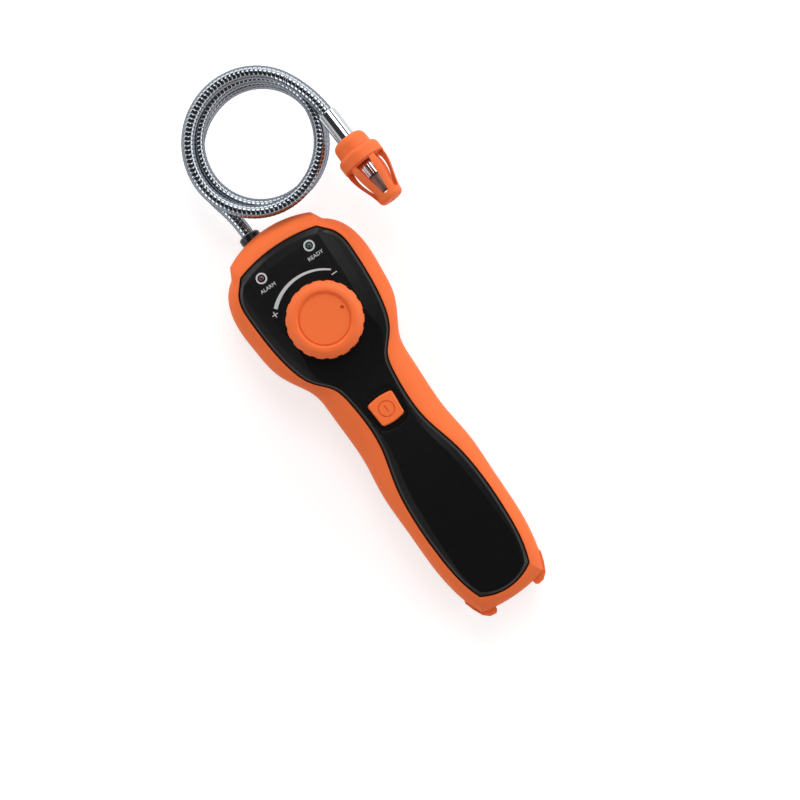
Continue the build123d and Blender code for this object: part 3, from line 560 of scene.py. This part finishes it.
def bendPoint(point):
    run = next((r for r in reversed(neckRuns) if point.z >= r["from"]), neckRuns[0])
    place, turn = runPlace(run, point.z - run["from"])
    across = turn @ run["side"]
    other = turn @ run["tangent"].cross(run["side"])
    return place + across * point.x + other * point.y


# One turn of a rib is spun, doubled up to the length like the strip of the real hose,
# cut and bent to the route
def makeNeckPiece(name, low, high, settings):
    crown, groove, pitch = settings["radius"], settings["grooveRadius"], settings["pitch"]
    firstTurn = floor(low / pitch) - 1
    bm = bmesh.new()
    points = []
    for along, lift in settings["ribProfile"]:
        radius = groove + (crown - groove) * lift
        points.append(bm.verts.new((radius, 0, (firstTurn + along) * pitch)))
    edges = [bm.edges.new(pair) for pair in zip(points, points[1:])]
    steps = settings["steps"]
    bmesh.ops.spin(
        bm,
        geom=points + edges,
        cent=(0, 0, 0),
        axis=(0, 0, 1),
        dvec=(0, 0, pitch / steps),
        angle=2 * pi,
        steps=steps,
    )
    turns = 1
    while (firstTurn + turns - 1) * pitch < high:
        copied = bmesh.ops.duplicate(bm, geom=bm.verts[:] + bm.edges[:] + bm.faces[:])["geom"]
        copiedVerts = [g for g in copied if isinstance(g, bmesh.types.BMVert)]
        bmesh.ops.translate(bm, verts=copiedVerts, vec=(0, 0, turns * pitch))
        turns *= 2
    bmesh.ops.remove_doubles(bm, verts=bm.verts, dist=0.01)
    for height, clearOuter in ((low, False), (high, True)):
        bmesh.ops.bisect_plane(
            bm,
            geom=bm.verts[:] + bm.edges[:] + bm.faces[:],
            plane_co=(0, 0, height),
            plane_no=(0, 0, 1),
            clear_inner=not clearOuter,
            clear_outer=clearOuter,
        )
    bmesh.ops.holes_fill(bm, edges=[e for e in bm.edges if e.is_boundary], sides=0)
    ribLayer = bm.verts.layers.float.new("rib")
    for vert in bm.verts:
        radius = vert.co.xy.length
        vert[ribLayer] = (radius - groove) / (crown - groove)
    for vert in bm.verts:
        vert.co = bendPoint(vert.co)
    return finishMesh(bm, name, finishes["neckChrome"])


neckRoot = makeNeckPiece("neckRoot", 0.0, rootEnd, neckSet)
neckCoil = makeNeckPiece("neckCoil", rootEnd, coilEnd, neckSet)
neckTip = makeNeckPiece("neckTip", coilEnd, neckEnd, neckSet)
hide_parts("neck_root")
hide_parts("neck_coil")
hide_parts("neck_tip")
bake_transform(neckRoot)
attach(neckCoil, "neck")
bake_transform(neckTip)
print("gooseneck wound,", round(neckEnd), "mm")


# White print on the face: rings and words at the lamps, the wedge scale with its plus and minus
printSet = {
    "height": 37.2,
    "lift": 0.01,
    "thickness": 0.05,
    "lamps": ((-13.3, 32.3), (13.3, 32.3)),
    "ringOuter": 2.65,
    "ringInner": 1.85,
    "words": ("ALARM", "READY"),
    "wordDrop": 5.3,
    "wordHeight": 1.75,
    "wordWidth": 8.0,
    "wordWeight": 0.006,
    "scaleRadius": 23.3,
    "scaleAngles": (49.0, 133.0),
    "scaleWidths": (0.75, 1.9),
    "plusPlace": (-17.6, 15.0),
    "minusPlace": (15.7, 15.4),
    "signLength": 2.9,
    "signWidth": 0.48,
}


def printPiece(bm, name):
    low = printSet["height"] + printSet["lift"]
    for vert in bm.verts:
        vert.co.z += low
    return finishMesh(bm, name, finishes["printWhite"], body="housing", smooth=False)


def makeRing(name, centre):
    bm = bmesh.new()
    loops = []
    for radius in (printSet["ringInner"], printSet["ringOuter"]):
        verts = bmesh.ops.create_circle(bm, segments=48, radius=radius)["verts"]
        loops += list({edge for vert in verts for edge in vert.link_edges})
    bmesh.ops.bridge_loops(bm, edges=loops)
    thicken(bm, printSet["thickness"])
    bmesh.ops.translate(bm, verts=bm.verts, vec=(*centre, 0))
    printPiece(bm, name)


def makeScaleArc():
    low, high = (radians(angle) for angle in printSet["scaleAngles"])
    thin, thick = printSet["scaleWidths"]
    middle = printSet["scaleRadius"]
    bm = bmesh.new()
    ends = [bm.verts.new((middle + reach, 0, 0)) for reach in (-0.5, 0.5)]
    edge = bm.edges.new(ends)
    bmesh.ops.spin(bm, geom=ends + [edge], cent=(0, 0, 0), axis=(0, 0, 1), angle=high - low, steps=60)
    for vert in bm.verts:
        angle = atan2(vert.co.y, vert.co.x)
        width = thin + (thick - thin) * angle / (high - low)
        radius = middle + (vert.co.xy.length - middle) * width
        vert.co.xy = Vector((cos(angle + low), sin(angle + low))) * radius
    thicken(bm, printSet["thickness"])
    printPiece(bm, "scaleArc")


def makeSign(name, centre, upright):
    bm = bmesh.new()
    long, wide = printSet["signLength"] / 2, printSet["signWidth"] / 2
    bmesh.ops.create_grid(bm, x_segments=3, y_segments=3, size=1.0)
    for vert in bm.verts:
        vert.co.x = (1 if vert.co.x > 0 else -1) * (long if abs(vert.co.x) > 0.5 else wide)
        vert.co.y = (1 if vert.co.y > 0 else -1) * (long if abs(vert.co.y) > 0.5 else wide)
    for face in bm.faces[:]:
        middle = face.calc_center_median()
        outside = [abs(middle.x) > wide, abs(middle.y) > wide]
        if all(outside) or (outside[1] and not upright):
            bm.faces.remove(face)
    loose = [vert for vert in bm.verts if not vert.link_faces]
    bmesh.ops.delete(bm, geom=loose, context="VERTS")
    thicken(bm, printSet["thickness"])
    bmesh.ops.translate(bm, verts=bm.verts, vec=(*centre, 0))
    printPiece(bm, name)


def makeWord(name, text, centre):
    curve = bpy.data.curves.new(name, "FONT")
    curve.body = text
    curve.align_x = "CENTER"
    curve.align_y = "CENTER"
    curve.offset = printSet["wordWeight"]
    curve.resolution_u = 4
    letters = bpy.data.objects.new(name, curve)
    bpy.context.scene.collection.objects.link(letters)
    bpy.context.view_layer.update()
    mesh = bpy.data.meshes.new_from_object(letters.evaluated_get(bpy.context.evaluated_depsgraph_get()))
    bpy.data.objects.remove(letters)
    bm = bmesh.new()
    bm.from_mesh(mesh)
    bmesh.ops.remove_doubles(bm, verts=bm.verts, dist=0.0005)
    xs = [vert.co.x for vert in bm.verts]
    ys = [vert.co.y for vert in bm.verts]
    wide, tall = max(xs) - min(xs), max(ys) - min(ys)
    middle = Vector(((max(xs) + min(xs)) / 2, (max(ys) + min(ys)) / 2, 0))
    for vert in bm.verts:
        vert.co -= middle
        vert.co.x *= printSet["wordWidth"] / wide
        vert.co.y *= printSet["wordHeight"] / tall
    thicken(bm, printSet["thickness"])
    bmesh.ops.translate(bm, verts=bm.verts, vec=(*centre, 0))
    printPiece(bm, name)


for (x, y), text in zip(printSet["lamps"], printSet["words"]):
    side = "left" if x < 0 else "right"
    makeRing(side + "LampRing", (x, y))
    makeWord(side + "LampWord", text, (x, y - printSet["wordDrop"]))
makeScaleArc()
makeSign("plusSign", printSet["plusPlace"], True)
makeSign("minusSign", printSet["minusPlace"], False)
print("print on the face")

# Floor, light and world
lightSet = {
    "floorSize": 3000.0,
    "floorColour": (0.6, 0.6, 0.6, 1),
    "fibreColour": (0.62, 0.62, 0.62, 1),
    "floorGlow": 0.62,
    "key": {"right": 40.0, "up": 760.0, "height": 1150.0, "size": 620.0, "power": 4.9},
    "fill": {"right": -860.0, "up": -620.0, "height": 700.0, "size": 600.0, "power": 3.4},
    "gloom": 0.05,
    "ringTop": (0.62, 0.48),
    "ringFoot": (0.0, 0.22),
    "brightSide": (0.45, 0.9),
    "shadeLevel": 0.7,
    "brightLevel": 2.9,
}


def makeFloor(settings):
    bm = bmesh.new()
    bmesh.ops.create_grid(bm, x_segments=4, y_segments=4, size=settings["floorSize"] / 2)
    material, tree, shader = startMaterial("floorPaper")
    place = addNode(tree, "ShaderNodeTexCoord").outputs["Object"]
    fibre = addNode(
        tree, "ShaderNodeTexNoise", inputs={"Vector": place, "Scale": 600.0, "Detail": 3.0}
    ).outputs[0]
    colour = mixColours(tree, fibre, settings["floorColour"], settings["fibreColour"])
    tree.links.new(colour, shader.inputs["Base Color"])
    shader.inputs["Roughness"].default_value = 0.9
    shader.inputs["Specular IOR Level"].default_value = 0.1
    path = addNode(tree, "ShaderNodeLightPath")
    seen = calculate(tree, "MAXIMUM", path.outputs["Is Camera Ray"], path.outputs["Is Glossy Ray"])
    seen = calculate(tree, "MAXIMUM", seen, path.outputs["Is Transmission Ray"])
    shader.inputs["Emission Color"].default_value = (1, 1, 1, 1)
    glow = calculate(tree, "MULTIPLY", seen, settings["floorGlow"])
    tree.links.new(glow, shader.inputs["Emission Strength"])
    floor = finishMesh(bm, "floor", material)


def makeSoftbox(name, settings):
    data = bpy.data.lights.new(name, "AREA")
    data.shape = "SQUARE"
    data.size = settings["size"] * mm
    data.energy = settings["power"]
    lamp = bpy.data.objects.new(name, data)
    bpy.context.scene.collection.objects.link(lamp)
    spot = Vector((*cameraSet["aim"], 0)) + photoRight * settings["right"] + photoUp * settings["up"]
    spot.z = settings["height"]
    lamp.location = spot * mm
    aim = Vector((*cameraSet["aim"], 0))
    lamp.rotation_euler = (spot - aim).to_track_quat("Z", "Y").to_euler()


# The sky is a bright ring with a dark patch overhead, brighter towards the top of the photo than below;
# the camera sees it plain white
def makeSky(settings):
    world = bpy.data.worlds.new("studio")
    bpy.context.scene.world = world
    world.use_nodes = True
    tree = world.node_tree
    tree.nodes.clear()
    direction = addNode(tree, "ShaderNodeTexCoord").outputs["Generated"]
    height = addNode(tree, "ShaderNodeSeparateXYZ", inputs={0: direction}).outputs["Z"]
    towards = (photoRight * settings["brightSide"][0] + photoUp * settings["brightSide"][1]).normalized()
    across = addNode(
        tree, "ShaderNodeVectorMath", {"operation": "DOT_PRODUCT"}, {0: direction, 1: tuple(towards)}
    ).outputs["Value"]

    def ramp(value, start, end, low, high):
        return addNode(
            tree,
            "ShaderNodeMapRange",
            {"interpolation_type": "SMOOTHSTEP"},
            {"Value": value, "From Min": start, "From Max": end, "To Min": low, "To Max": high},
        ).outputs[0]

    ringTop, ringFull = settings["ringTop"]
    footDark, footFull = settings["ringFoot"]
    ring = calculate(
        tree,
        "MULTIPLY",
        ramp(height, ringFull, ringTop, 1.0, 0.0),
        ramp(height, footDark, footFull, 0.0, 1.0),
    )
    side = ramp(across, -0.6, 0.6, settings["shadeLevel"], settings["brightLevel"])
    level = calculate(tree, "MULTIPLY_ADD", ring, side, settings["gloom"])
    path = addNode(tree, "ShaderNodeLightPath")
    plain = calculate(tree, "MAXIMUM", path.outputs["Is Camera Ray"], path.outputs["Is Transmission Ray"])
    strength = addNode(tree, "ShaderNodeMix", {"data_type": "FLOAT"}, {0: plain, 2: level, 3: 1.0}).outputs[0]
    sky = addNode(tree, "ShaderNodeBackground", inputs={"Color": (1, 1, 1, 1), "Strength": strength})
    out = addNode(tree, "ShaderNodeOutputWorld")
    tree.links.new(sky.outputs[0], out.inputs[0])


makeFloor(lightSet)
makeSoftbox("keySoftbox", lightSet["key"])
makeSoftbox("fillSoftbox", lightSet["fill"])
makeSky(lightSet)
bpy.context.scene.view_settings.view_transform = "Standard"
print("floor and light ready")
